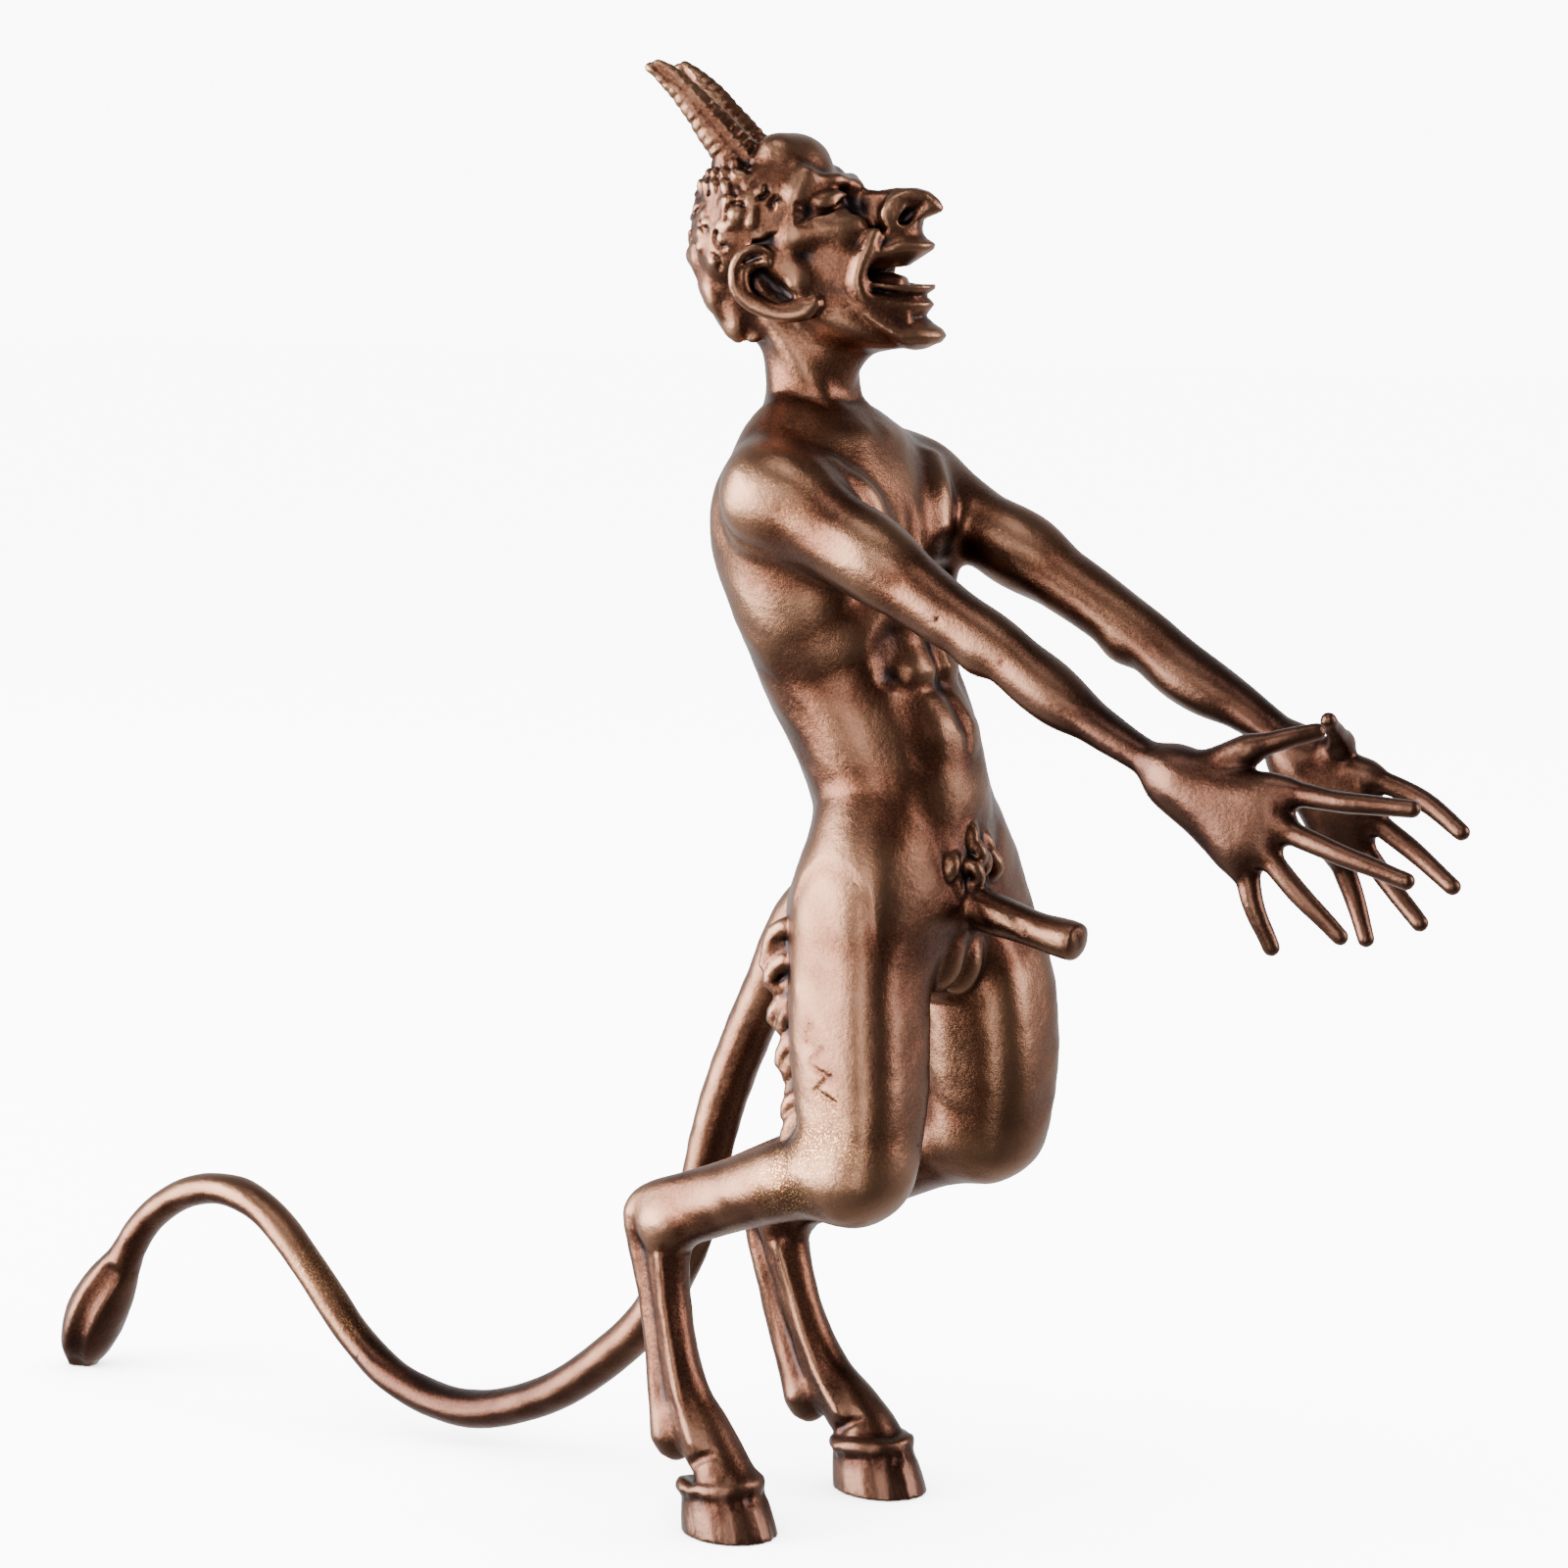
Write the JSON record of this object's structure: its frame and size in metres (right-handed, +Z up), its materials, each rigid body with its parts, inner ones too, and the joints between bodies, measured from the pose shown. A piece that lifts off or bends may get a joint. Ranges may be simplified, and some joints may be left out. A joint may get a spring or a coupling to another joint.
{
  "type": "faun statue",
  "caption": "Small cast bronze faun on bent goat legs, head thrown back and laughing, both arms held out in front, long tail curling back to the floor.",
  "frame": {"origin": "centre of the bounding box at floor level, midway between the tail tuft and the fingertips", "axes": "+X the way the figure faces and reaches, +Y to the figure's left, +Z up"},
  "size_m": [0.2896, 0.0602, 0.2403],
  "materials": {
    "bronze": "bronze with a warm brown patina, darker in the hollows and rubbed bright on the high spots"
  },
  "bodies": {
    "root": {"faun": "bronze"}
  },
  "joints": []
}
